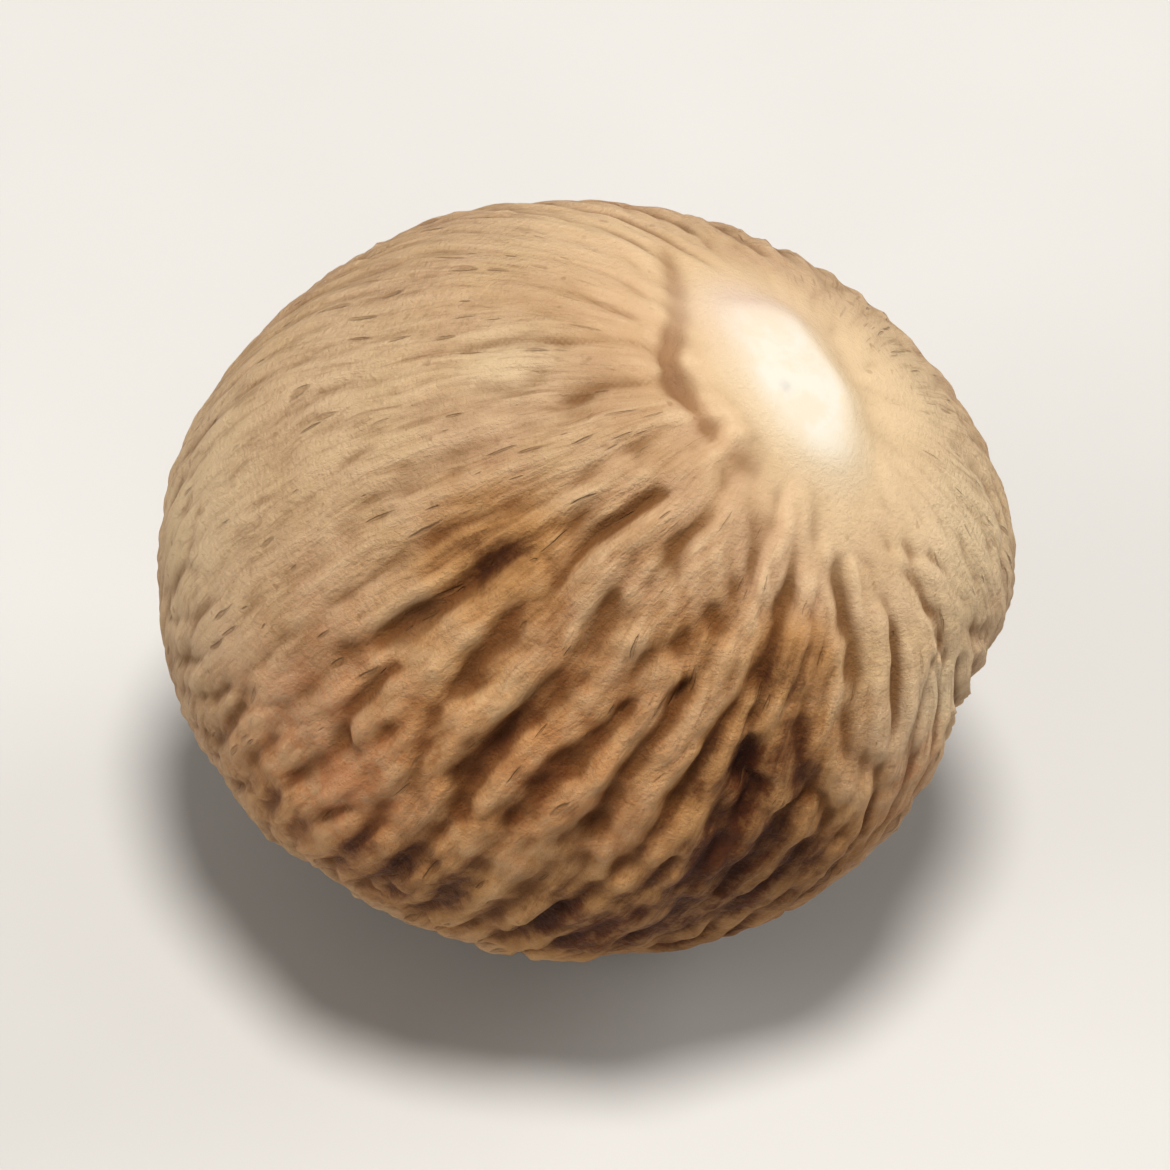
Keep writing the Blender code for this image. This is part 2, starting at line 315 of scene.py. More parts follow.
FRONT_CREASES = [Crease(*path, width * MM, depth * MM) for *path, width, depth in FRONT_ROWS]

# %% The creases of the sides and the back
Tier = namedtuple("Tier", "first last start end count depth")
TIERS = (
    Tier(108, 262, 28, 62, 13, 0.36 * MM),
    Tier(118, 304, 60, 104, 19, 0.46 * MM),
    Tier(-60, 112, 94, 134, 17, 0.40 * MM),
    Tier(112, 300, 100, 142, 18, 0.46 * MM),
    Tier(-180, 180, 136, 164, 18, 0.36 * MM),
)
TIER_CREASE_WIDTH = 0.54 * MM
TIER_SEED = 7
PLACE_SHAKE = 0.28
START_EARLIER = 0.22
END_SHAKE = (-0.25, 0.22)
DRIFT_SHAKE = 7.0
WIDTH_SHAKE = (0.8, 1.25)
DEPTH_SHAKE = (0.65, 1.25)


def tier_creases(tier, rng):
    """The creases of one tier, evenly spread and then shaken, so that no two are alike."""
    spacing = (tier.last - tier.first) / tier.count
    reach = tier.end - tier.start
    for k in range(tier.count):
        yield Crease(
            longitude=tier.first + spacing * (k + 0.5 + rng.uniform(-PLACE_SHAKE, PLACE_SHAKE)),
            start=tier.start - reach * rng.uniform(0.0, START_EARLIER),
            end=tier.end + reach * rng.uniform(*END_SHAKE),
            drift=rng.uniform(-DRIFT_SHAKE, DRIFT_SHAKE),
            width=TIER_CREASE_WIDTH * rng.uniform(*WIDTH_SHAKE),
            depth=tier.depth * rng.uniform(*DEPTH_SHAKE),
        )


tier_rng = random.Random(TIER_SEED)
CREASES = list(FRONT_CREASES)
for tier in TIERS:
    CREASES.extend(tier_creases(tier, tier_rng))
print(len(CREASES), "creases")

# %% What one crease does to the skin
WANDER = 2.6
WANDER_SIZE = 4.2 * MM
FINE_WANDER = 1.3
FINE_WANDER_SIZE = 1.6 * MM
TAPER = 0.36
SHARPNESS = 1.25
NARROWING = 1.15
CUT_SHARE = 0.27
GATHER_WIDTH = 2.4


def beside_crease(longitude, polar, crease):
    """How far east of the crease each place lies, in metres, and its share of the full depth."""
    along = (polar - crease.start) / (crease.end - crease.start)
    turn = longitude - crease.longitude - crease.drift * along
    turn = np.radians((turn + 180.0) % 360.0 - 180.0)
    beside = turn * np.sin(np.radians(polar)) * SKIN_RADIUS
    ends = fade(along / TAPER) * fade((1.0 - along) / TAPER)
    return beside, ends


def cut_and_gather(longitude, polar, crease):
    """The depth of the crease's cut, and how much it gathers the skin beside it."""
    beside, ends = beside_crease(longitude, polar, crease)
    gap = np.abs(beside) / (crease.width * NARROWING)
    cut = crease.depth * CUT_SHARE * ends * np.exp(-(gap ** SHARPNESS))
    gather = crease.depth * ends * np.exp(-((gap / GATHER_WIDTH) ** 2))
    return cut, gather


wander = WANDER * smooth_noise(skin, WANDER_SIZE)
wander += FINE_WANDER * smooth_noise(skin, FINE_WANDER_SIZE)
cut_cubes = np.zeros(len(skin))
gather_cubes = np.zeros(len(skin))
for crease in CREASES:
    cut, gather = cut_and_gather(longitude + wander, polar, crease)
    cut_cubes += cut ** 3
    gather_cubes += gather ** 3
cuts = np.cbrt(cut_cubes)
gathers = np.cbrt(gather_cubes)
print("deepest crease in mm:", round(float(cuts.max() / MM), 2))

# %% [markdown]
# ## The scar, its groove, the pit and the seam
#
# The stalk scar is a smooth oval cushion, a groove hugs one side of it, and a faint seam runs
# from it to the pit at the other end. The scar's edge is worked out as an oval on the globe: a
# value that is 0 at its middle and 1 on its edge makes the cushion, keeps the creases off it and
# later paints it.

# %% Sizes of the scar, the groove, the pit and the seam
SCAR_CENTRE = (-103.0, 2.0)
SCAR_LONG_WAY = 72.0
SCAR_LENGTH = 6.4 * MM
SCAR_WIDTH = 3.5 * MM
SCAR_RISE = 0.32 * MM
SCAR_EDGE_SHAKE = 0.14
SCAR_EDGE_SHAKE_SIZE = 1.5 * MM
GROOVE_ROUTE = ((-114.0, 34.0), (-86.0, 20.0), (-50.0, 18.0), (-10.0, 16.0), (34.0, 18.0))
GROOVE_WIDTH = 0.34 * MM
GROOVE_DEPTH = 0.30 * MM
GROOVE_SHARPNESS = 1.6
GROOVE_STARTS = -118.0
GROOVE_FADES_IN = 20.0
GROOVE_STOPS = 34.0
GROOVE_FADES_OUT = 70.0
GROOVE_LUMP_SIZE = 1.7 * MM
PIT_CENTRE = (-160.0, 171.0)
PIT_RADIUS = 1.15 * MM
PIT_DEPTH = 1.30 * MM
PIT_MOUTH = 1.25
PIT_WALL = 0.7
PIT_RIM = 0.22 * MM
RIM_REACH = 1.7
RIM_SPREAD = 0.5
FOOT_SPREAD = 17.0
SEAM = Crease(197.0, 14.0, 166.0, 6.0, 0.55 * MM, 0.40 * MM)


def scar_reach(directions):
    """How far out each direction lies from the scar's middle: 0 there, and 1 on its edge."""
    centre = direction(*SCAR_CENTRE)
    long_way = direction(SCAR_LONG_WAY, 90.0)
    long_way -= centre * (long_way @ centre)
    long_way /= np.linalg.norm(long_way)
    wide_way = np.cross(centre, long_way)
    u = directions @ long_way * SKIN_RADIUS / (SCAR_LENGTH / 2)
    v = directions @ wide_way * SKIN_RADIUS / (SCAR_WIDTH / 2)
    return np.where(directions @ centre < 0, np.inf, np.hypot(u, v))


def smooth_route(route, steps=8):
    """The route's points joined by a smooth curve, of the kind named after Catmull and Rom."""
    stops = np.array([direction(*stop) for stop in route])
    stops = np.vstack((2 * stops[0] - stops[1], stops, 2 * stops[-1] - stops[-2]))
    found = []
    for before, start, end, after in zip(stops[:-3], stops[1:-2], stops[2:-1], stops[3:]):
        for t in np.linspace(0.0, 1.0, steps, endpoint=False):
            bend = (end - before) * t + (2 * before - 5 * start + 4 * end - after) * t ** 2
            found.append(start + (bend + (3 * start - before - 3 * end + after) * t ** 3) / 2)
    found = np.array(found + [stops[-2]])
    return found / np.linalg.norm(found, axis=1, keepdims=True)


def from_route(directions, route):
    """Each direction's distance from a route of (longitude, polar angle) points, in metres."""
    stops = smooth_route(route)
    nearest = np.full(len(directions), np.inf)
    for start, end in zip(stops[:-1], stops[1:]):
        step = end - start
        share = np.clip((directions - start) @ step / (step @ step), 0.0, 1.0)
        gap = directions - (start + share[:, None] * step)
        nearest = np.minimum(nearest, np.linalg.norm(gap, axis=1))
    return nearest * SKIN_RADIUS


# %% Where they lie on the skin
edge_shake = SCAR_EDGE_SHAKE * smooth_noise(skin, SCAR_EDGE_SHAKE_SIZE, shift=61.0)
reach = scar_reach(skin) * (1.0 + edge_shake)
boss = SCAR_RISE * fade((1.25 - reach) / 0.55)
off_the_scar = fade((reach - 1.0) / 0.6)
groove_gap = from_route(skin, GROOVE_ROUTE)
groove_ends = fade((longitude - GROOVE_STARTS) / GROOVE_FADES_IN)
groove_ends *= fade((GROOVE_STOPS - longitude) / GROOVE_FADES_OUT)
groove_ends *= 0.8 + 0.5 * smooth_noise(skin, GROOVE_LUMP_SIZE, shift=71.0)
groove = GROOVE_DEPTH * groove_ends * np.exp(-((groove_gap / GROOVE_WIDTH) ** GROOVE_SHARPNESS))
seam = cut_and_gather(longitude + wander, polar, SEAM)[0]
pit_reach = np.radians(angle_between(skin, direction(*PIT_CENTRE))) * SKIN_RADIUS / PIT_RADIUS
pit = PIT_DEPTH * fade((PIT_MOUTH - pit_reach) / PIT_WALL)
pit_rim = PIT_RIM * np.exp(-(((pit_reach - RIM_REACH) / RIM_SPREAD) ** 2))
off_the_foot = fade((angle_between(skin, FOOT) - FOOT_SPREAD) / 8.0)
print("share of the skin that is scar:", round(float((reach < 1).mean()), 4))

# %% [markdown]
# ## Folds between the creases
#
# Between the creases the skin is gathered into finer folds: rounded ridges side by side that
# swerve, split and join, like the ripples of wind-blown sand. They are broadest in the middle of
# the front, where the skin has shrunk most. Plain noise gives blobs, and parallel waves look
# combed. So the folds are built from many small patches of waves, each with its own direction
# and spacing. Where patches overlap, their waves add up as turning arrows, and the angle of the
# summed arrow says how far across a fold a place is. Before that, the patches settle: each in
# turn slides its waves to agree with its neighbours, so ridges run on from patch to patch.
# Patches on a big crease are held, so that a valley falls in it.

# %% Patches of waves
Folds = namedtuple("Folds", "spacing patches reach swerve uneven wider seed")
COARSE_FOLDS = Folds(1.25 * MM, 1500, 0.95 * MM, 34.0, 0.24, 0.45, 3.0)
FINE_FOLDS = Folds(0.62 * MM, 5200, 0.52 * MM, 40.0, 0.26, 0.20, 17.0)
GOLDEN_TURN = math.pi * (3.0 - math.sqrt(5.0))
SWERVE_SIZE = 3.6 * MM
SMALL_SWERVE_SIZE = SWERVE_SIZE / 2.3
FRONT_SWERVE = 0.42
SPACING_DRIFT_SIZE = 3.0 * MM
STRAIGHT_FOLDS = ((10.0, 84.0, 80.0), (-60.0, 60.0, 60.0))
BROAD_FOLDS = (20.0, 62.0, 45.0)
HOLD_WITHIN = 0.7 * MM
HOLDING_SHARE = 0.3
NEIGHBOURS_WITHIN = 2.6
FELT_WITHIN = 3.0
SETTLING_ROUNDS = 8


def even_directions(count):
    """Directions spread evenly over the sphere, along one spiral from pole to pole."""
    k = np.arange(count)
    up = 1.0 - (2.0 * k + 1.0) / count
    side = np.sqrt(1.0 - up * up)
    return np.column_stack((side * np.cos(GOLDEN_TURN * k), side * np.sin(GOLDEN_TURN * k), up))


def on_the_front(directions):
    """1 on the front, where folds run straight, and 0 on the back."""
    return np.maximum(*(bell(directions, *zone) for zone in STRAIGHT_FOLDS))


def wave_vectors(centres, folds):
    """For each patch, the vector across its waves, long enough for its own spacing."""
    east = np.column_stack((-centres[:, 1], centres[:, 0], np.zeros(len(centres))))
    east /= np.linalg.norm(east, axis=1, keepdims=True)
    south = np.cross(east, centres) * -1.0
    swerve = smooth_noise(centres, SWERVE_SIZE, folds.seed)
    swerve += 0.5 * smooth_noise(centres, SMALL_SWERVE_SIZE, folds.seed + 5.0)
    swerve *= 1.0 + (FRONT_SWERVE - 1.0) * on_the_front(centres)
    swerve = np.radians(folds.swerve * 2.0 * swerve)[:, None]
    drift = smooth_noise(centres, SPACING_DRIFT_SIZE, folds.seed + 9.0)
    spacing = folds.spacing * (1.0 + folds.uneven * 2.0 * drift)
    spacing *= 1.0 + folds.wider * bell(centres, *BROAD_FOLDS)
    across = east * np.cos(swerve) + south * np.sin(swerve)
    return across * (2.0 * math.pi * SKIN_RADIUS / spacing)[:, None]


def held_phases(centres, waves):
    """The phase that puts a valley on the nearest big crease, and how far off that crease is."""
    lon, pol = places(centres)
    lon = lon + WANDER * smooth_noise(centres, WANDER_SIZE)
    nearest = np.full(len(centres), np.inf)
    signed = np.zeros(len(centres))
    for crease in CREASES:
        beside, ends = beside_crease(lon, pol, crease)
        gap = np.where(ends > HOLDING_SHARE, np.abs(beside), np.inf)
        closer = gap < nearest
        nearest = np.where(closer, gap, nearest)
        signed = np.where(closer, beside, signed)
    length = np.linalg.norm(waves, axis=1)
    return math.pi + length * signed / SKIN_RADIUS, nearest


def settle(centres, waves, folds, phases, held, rng):
    """Slides each free patch's waves, again and again, to agree with its neighbours."""
    spread = folds.reach / SKIN_RADIUS
    closeness = centres @ centres.T
    order = [k for k in range(len(centres)) if not held[k]]
    near_by = {}
    for k in order:
        near = np.flatnonzero(closeness[k] > math.cos(NEIGHBOURS_WITHIN * spread))
        near = near[near != k]
        step = centres[k] - centres[near]
        weight = np.exp(-(step * step).sum(axis=1) / (2.0 * spread ** 2))
        near_by[k] = (near, weight, (waves[near] * step).sum(axis=1))
    for _ in range(SETTLING_ROUNDS):
        rng.shuffle(order)
        for k in order:
            near, weight, turn = near_by[k]
            phases[k] = np.angle((weight * np.exp(1j * (phases[near] + turn))).sum())
    return phases


def fold_angle(directions, folds, hold_within=0.0):
    """How far across a fold each place is, 0 on a ridge and pi in a valley, and how clearly."""
    rng = random.Random(int(folds.seed))
    centres = even_directions(folds.patches)
    waves = wave_vectors(centres, folds)
    phases, nearest = held_phases(centres, waves)
    held = nearest < hold_within
    loose = np.array([rng.uniform(-math.pi, math.pi) for _ in centres])
    phases = np.where(held, phases, loose)
    phases = settle(centres, waves, folds, phases, held, rng)
    spread = folds.reach / SKIN_RADIUS
    total = np.zeros(len(directions), complex)
    for centre, wave, phase in zip(centres, waves, phases):
        near = np.flatnonzero(directions @ centre > math.cos(FELT_WITHIN * spread))
        step = directions[near] - centre
        weight = np.exp(-(step * step).sum(axis=1) / (2.0 * spread ** 2))
        total[near] += weight * np.exp(1j * (phase + step @ wave))
    return np.angle(total), np.abs(total)


# %% Gather the skin into folds
CLEAR_ENOUGH = 0.5
coarse_angle, coarse_clear = fold_angle(skin, COARSE_FOLDS, HOLD_WITHIN)
fine_angle, fine_clear = fold_angle(skin, FINE_FOLDS)
print("the folds are clear over a share of", round(float((coarse_clear > CLEAR_ENOUGH).mean()), 3))

# %% [markdown]
# ## How strong the folds are, and where
#
# The skin is drawn tight over the shoulders and stays smooth there, and it is gathered deep on
# the front and the flanks. Calm patches weaken the folds round chosen places. A fold's outline
# also changes: in the middle of the front rounded ridges stand apart with open valleys between
# them, round that they meet in sharp valleys, and parts of the back have thin, raised wrinkles.
# Knobs and hollows then break the ridges up, because a real fold is never of one height.

# %% Calm patches and the strength of the folds
# longitude, polar angle and spread in degrees, and the share that is smoothed away
CALM_PATCHES = (
    (-64, 66, 34, 0.86),
    (-84, 40, 26, 0.60),
    (-36, 100, 28, 0.80),
    (-168, 38, 24, 0.65),
    (128, 52, 16, 0.45),
    (140, 30, 30, 0.80),
    (-140, 22, 20, 0.65),
    (84, 20, 14, 0.60),
)
SHRUNKEN_MIDDLE = (25.0, 68.0, 52.0)

calm = np.ones(len(skin))
for *place, share in CALM_PATCHES:
    calm *= 1.0 - share * bell(skin, *place)
front = on_the_front(skin)
frontal = bell(skin, *SHRUNKEN_MIDDLE)
print("share of the skin that is calm:", round(float((calm < 0.5).mean()), 3))

# %% Furrows that fan out from the scar
Fan = namedtuple("Fan", "around down height shift")
FANS = (
    Fan(6.2, 1.9, 0.60 * MM, 11.0),
    Fan(11.5, 3.6, 0.36 * MM, 23.0),
    Fan(19.0, 6.0, 0.18 * MM, 37.0),
)
HOLLOWS = Fan(3.3, 1.5, 0.62 * MM, 53.0)
FURROW_ROUNDING = 0.08
FURROW_OUTLINE = 0.75
USUAL_FURROW = 0.33


def stretched(longitude, polar, around, down):
    """Coordinates in which noise is drawn out along the meridians, and finest near the scar."""
    turn = np.radians(longitude)
    return np.column_stack((np.cos(turn) * around, np.sin(turn) * around, np.radians(polar) * down))


def fan_noise(longitude, polar, fan):
    """Noise that fans out from the scar, where the meridians meet."""
    spots = stretched(longitude, polar, fan.around, fan.down)
    return np.array([noise.noise(Vector(spot) + Vector((fan.shift,) * 3)) for spot in spots])


hollows = HOLLOWS.height * fan_noise(longitude + wander, polar, HOLLOWS)
fan_folds = np.zeros(len(skin))
for fan in FANS:
    rise = np.hypot(fan_noise(longitude + wander, polar, fan), FURROW_ROUNDING)
    fan_folds += fan.height * (rise ** FURROW_OUTLINE - USUAL_FURROW)
show_range("furrows of the fan", fan_folds)

# %% The outline of a fold
THIN_PATCH_SIZE = 5.0 * MM


def plump_ridges(angle, open_valleys=0.0):
    """Rounded ridges, with valleys that are sharp or, at 1, wide open. Their mean is about 0."""
    ridges = np.abs(np.cos(angle / 2.0)) ** (0.75 + 0.75 * open_valleys)
    return ridges - (0.70 - 0.18 * open_valleys)


def thin_ridges(angle):
    """Thin raised wrinkles on open ground. Their mean is about 0."""
    return (1.0 - np.abs(np.sin(angle / 2.0)) ** 0.8) ** 0.9 - 0.3


thinned = fade(0.5 + 1.4 * smooth_noise(skin, THIN_PATCH_SIZE, shift=47.0) + 0.25 - front)
coarse = (1.0 - thinned) * plump_ridges(coarse_angle, frontal) + thinned * thin_ridges(coarse_angle)
coarse *= fade(coarse_clear / CLEAR_ENOUGH)
fine = plump_ridges(fine_angle) * fade(fine_clear / CLEAR_ENOUGH)

# %% Folds, furrows, knobs and hollows together
COARSE_HEIGHT = 0.21 * MM
COARSE_GAIN_IN_FRONT = 0.11 * MM
GATHERED_SHARE = 0.30
GATHERED_DEPTH = 0.34 * MM
FINE_HEIGHT = 0.090 * MM
WEAK_PATCH_SIZE = 3.4 * MM
KNOB_SIZE = 0.85 * MM
KNOB_HEIGHT = 0.21 * MM

gathers *= weakened(calm, 0.40)
patchy = 0.75 + 0.5 * smooth_noise(skin, WEAK_PATCH_SIZE, shift=31.0)
coarse_height = (COARSE_HEIGHT + COARSE_GAIN_IN_FRONT * frontal) * calm * patchy
folds = coarse * (coarse_height + GATHERED_SHARE * gathers)
folds += fine * FINE_HEIGHT * weakened(calm, 0.35)
gathered = fade(gathers / GATHERED_DEPTH)
folds += fan_folds * (0.20 + 0.55 * gathered) * weakened(front, 0.4) * weakened(calm, 0.3)
knobs = KNOB_HEIGHT * smooth_noise(skin, KNOB_SIZE, shift=83.0)
folds += (hollows + knobs) * weakened(frontal, 0.25) * calm
folds *= weakened(off_the_foot, 0.15) * weakened(off_the_scar, 0.04)
folds *= fade((pit_reach - 0.8) / 0.6)
show_range("folds", folds)

# %% [markdown]
# ## Put the skin together
#
# All heights are added along the outward normal of the plain body, then the kernel is turned
# the way it rests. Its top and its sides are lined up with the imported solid's box, and what
# would sink below the floor is flattened, which gives the small flat spot it rests on.

# %% Every height, added up
pressed = cuts * weakened(calm, 0.40) * off_the_scar * off_the_foot
pressed = np.maximum(pressed, seam * off_the_scar)
pressed = np.maximum(pressed, groove)
height = form - pressed - pit + pit_rim + boss + folds


def kernel_points(directions, height):
    """Where each direction meets the skin, in the kernel's own frame."""
    points = directions @ STRETCH.T
    points[:, :2] *= 1.0 + FULLNESS * directions[:, 2:]
    outward = directions @ np.linalg.inv(STRETCH)
    outward /= np.linalg.norm(outward, axis=1, keepdims=True)
    return points + outward * height[:, None]


points = kernel_points(skin, height) @ np.array(ATTITUDE.to_matrix()).T
middle = (points.min(axis=0) + points.max(axis=0)) / 2
points[:, 0] += (NUT_LOW.x + NUT_HIGH.x) / 2 - middle[0]
points[:, 1] += (NUT_LOW.y + NUT_HIGH.y) / 2 - middle[1]
points[:, 2] += NUT_HIGH.z - points[:, 2].max()
flat = points[:, 2] < NUT_LOW.z
points[flat, 2] = NUT_LOW.z
print("points on the flat spot:", int(flat.sum()))

# %% [markdown]
# ## What the colours need to know
#
# Dust and wear lighten the ridges, and the valleys keep the dark brown of the seed coat. A
# material can't see which place is a valley, so that is measured here and stored on each point:
# the height smoothed widely, less the height smoothed a little, is above zero in a valley and
# below zero on a ridge. Measuring it at two scales tells hairline folds from big creases. Other
# values mark the scar, the groove and the pit, and one holds coordinates along the folds for
# the streaks.

# %% Valleys and ridges


def smoothed(values, edges, rounds):
    """The values after each has moved halfway to its neighbours' mean, a number of times."""
    count = np.bincount(edges.ravel(), minlength=len(values))
    for _ in range(rounds):
        total = np.bincount(edges[:, 0], values[edges[:, 1]], len(values))
        total += np.bincount(edges[:, 1], values[edges[:, 0]], len(values))
        values = 0.5 * values + 0.5 * total / count
    return values


HAIRLINE_ROUNDS = (1, 14)
FURROW_ROUNDS = (4, 130)
edges = np.empty(len(kernel_mesh.edges) * 2, np.int64)
kernel_mesh.edges.foreach_get("vertices", edges)
edges = edges.reshape(-1, 2)
detail = height - form
hairline, furrow = (
    smoothed(detail, edges, wide) - smoothed(detail, edges, narrow)
    for narrow, wide in (HAIRLINE_ROUNDS, FURROW_ROUNDS))
show_range("ridges and valleys", furrow)

# %% Where the skin is darker, redder or paler
# The brown patches are partly real stain and partly painted shade: those over the lower front and along
# the bottom stand for shade that falls there.
# longitude, polar angle and spread in degrees, and the strength of the tint
STAIN_AND_SHADE_PATCHES = (
    (51, 60, 14, 1.00),
    (54, 76, 18, 1.00),
    (49, 42, 9, 0.75),
    (66, 84, 22, 0.90),
    (30, 44, 12, 0.45),
    (-9, 52, 13, 0.72),
    (20, 74, 38, 0.50),
    (50, 98, 22, 1.00),
    (20, 104, 20, 0.80),
    (74, 106, 18, 0.80),
    (0, 112, 20, 0.50),
    (2, 34, 10, 0.30),
    (-160, 128, 34, 0.50),
    (150, 88, 20, 0.45),
    (-110, 118, 22, 0.40),
)
ROSY_PATCHES = (
    (-2, 92, 17, 0.90),
    (22, 70, 20, 0.50),
    (86, 66, 9, 0.70),
    (-130, 70, 22, 0.50),
    (175, 60, 18, 0.40),
)
# Pale patches are mostly tone that differs at random, but the first two, at longitudes 118 and 92, are
# partly painted highlight.
PALE_PATCHES_AND_PAINTED_HIGHLIGHT = (
    (118, 34, 20, 1.00),
    (92, 54, 11, 1.00),
    (-50, 40, 8, 0.80),
    (150, 20, 26, 0.80),
    (-48, 94, 24, 0.70),
    (-50, 66, 24, 0.45),
    (-106, 46, 24, 0.45),
    (9, 66, 7, 0.60),
    (-170, 60, 24, 0.50),
)


def tinted(directions, patches):
    """The strongest tint that any of the patches gives each place."""
    found = np.zeros(len(directions))
    for *place, share in patches:
        found = np.maximum(found, share * bell(directions, *place))
    return found


# %% Store the values on the points
kernel_mesh.vertices.foreach_set("co", points.astype(np.float32).ravel())


def store(name, values):
    """Keeps a number or a vector for each point, under a name that materials can read."""
    kind, field = ("FLOAT", "value") if values.ndim == 1 else ("FLOAT_VECTOR", "vector")
    kept = kernel_mesh.attributes.new(name, kind, "POINT")
    kept.data.foreach_set(field, values.astype(np.float32).ravel())


ALONG_SCALE = 10.0
STREAK_STRETCH = 0.22
HAIRLINE_DEPTH = 0.05 * MM
FURROW_DEPTH = 0.22 * MM
BLUSH = (-112, 13.5, 7, 0.75)
PORE = (-32, 3, 0.8, 0.55)
COLLAR_SHARE = 0.8
HALO_REACH = 0.65
GROOVE_STAIN_WIDTH = 0.36 * MM

along_folds = stretched(longitude + wander, polar, 1.0, STREAK_STRETCH)
store("along_folds", ALONG_SCALE * along_folds)
store("hairline", hairline / HAIRLINE_DEPTH)
store("furrow", furrow / FURROW_DEPTH)
store("scar", 1.0 - fade((reach - 0.50) / 0.46))
store("blush", tinted(skin, (BLUSH,)))
store("scar_collar", COLLAR_SHARE * (1.0 - fade((reach - 0.78) / 0.50)))
store("scar_halo", np.exp(-((np.maximum(reach - 1.0, 0.0) / HALO_REACH) ** 2)))
store("pore", tinted(skin, (PORE,)))
store("groove", groove_ends * np.exp(-((groove_gap / GROOVE_STAIN_WIDTH) ** 2)))
store("streaky", fade((reach - 1.3) / 2.4))
store("pit", 1.0 - fade((pit_reach - 0.75) / 0.75))
store("stain_and_shade", tinted(skin, STAIN_AND_SHADE_PATCHES))
store("rosy", tinted(skin, ROSY_PATCHES))
store("pale", tinted(skin, PALE_PATCHES_AND_PAINTED_HIGHLIGHT))
kernel_mesh.shade_smooth()
kernel = new_object("nutmeg_kernel", kernel_mesh)

# %% [markdown]
# ## A helper for building node trees
#
# A material is a graph of nodes. Building one by hand takes three lines a node, so these helpers
# add a node, set its options and its unlinked sockets, and link what they are given. A value
# that is a socket is linked; any other value is set.

# %% Adding and linking nodes


def feed(tree, made, inputs):
    """Links or sets each input of a node."""
    for key, value in inputs.items():
        if isinstance(value, bpy.types.NodeSocket):
            tree.links.new(value, made.inputs[key])
        else:
            made.inputs[key].default_value = value
    return made


def node(tree, kind, inputs=None, **options):
    """Adds a node of this kind, sets its options, and links or sets each named input."""
    made = tree.nodes.new(kind)
    for option, value in options.items():
        setattr(made, option, value)
    return feed(tree, made, inputs or {})


def maths(tree, operation, a, b=0.0):
    """The result of one sum on two values."""
    return node(tree, "ShaderNodeMath", {0: a, 1: b}, operation=operation).outputs[0]


def times(tree, a, b):
    """One value times another."""
    return maths(tree, "MULTIPLY", a, b)


def ramp(tree, value, low, high, out_low=0.0, out_high=1.0):
    """The value stretched from low..high to out_low..out_high, and held at both ends."""
    return node(tree, "ShaderNodeMapRange", {
        "Value": value, "From Min": low, "From Max": high, "To Min": out_low, "To Max": out_high,
    }, interpolation_type="SMOOTHSTEP").outputs["Result"]


def blend(tree, share, first, second, way="MIX"):
    """One colour laid over another, by a share."""
    made = node(tree, "ShaderNodeMix", data_type="RGBA", blend_type=way)
    return feed(tree, made, {0: share, 6: first, 7: second}).outputs[2]


def between(tree, share, first, second):
    """The value that lies a share of the way from the first to the second."""
    return node(tree, "ShaderNodeMix", {0: share, 2: first, 3: second}, data_type="FLOAT").outputs[0]


def attribute(tree, name):
    """The number that the mesh stores under this name."""
    return node(tree, "ShaderNodeAttribute", attribute_name=name).outputs["Fac"]


def effect_group(name, result, **numbers):
    """A new node group, which takes a place and these numbers and gives out one number."""
    tree = bpy.data.node_groups.new(name, "ShaderNodeTree")
    add = tree.interface.new_socket
    add(name="Place", in_out="INPUT", socket_type="NodeSocketVector")
    for label, usual in numbers.items():
        add(name=label, in_out="INPUT", socket_type="NodeSocketFloat").default_value = usual
    add(name=result, in_out="OUTPUT", socket_type="NodeSocketFloat")
    given = tree.nodes.new("NodeGroupInput").outputs
    return tree, given, tree.nodes.new("NodeGroupOutput").inputs[result]


def use_group(tree, group, **inputs):
    """What a node group gives out, placed in a material with these inputs."""
    return node(tree, "ShaderNodeGroup", inputs, node_tree=group).outputs[0]


# %% [markdown]
# ## Effects that more than one material uses
#
# Mottling (slow drifts of tone) and grain (the finest roughness) turn up on the kernel and,
# much fainter, on the floor. Specks (small dots of another colour) and hairlines (thin,
# wandering lines) are used on the kernel more than once, at different sizes. Each is a node
# group with its own size and strength, built once. A group gives out masks and heights only,
# and each material decides what to do with them.

# %% Mottling, specks, grain and hairlines
def noise_in_group(tree, given, detail, roughness, distortion=0.0):
    """Noise at the place that a group is given, in lumps of the size it is given."""
    return node(tree, "ShaderNodeTexNoise", {
        "Vector": given["Place"], "Scale": maths(tree, "DIVIDE", 1.0, given["Size"]),
        "Detail": detail, "Roughness": roughness, "Distortion": distortion}).outputs["Fac"]


def mottling_group():
    """Slow, cloudy drifts: a mask from 0 to 1."""
    tree, given, mask = effect_group("mottling", "Mask", Size=1.0, Roughness=0.6)
    cloud = noise_in_group(tree, given, 4.0, given["Roughness"])
    tree.links.new(ramp(tree, cloud, 0.34, 0.66), mask)
    return tree


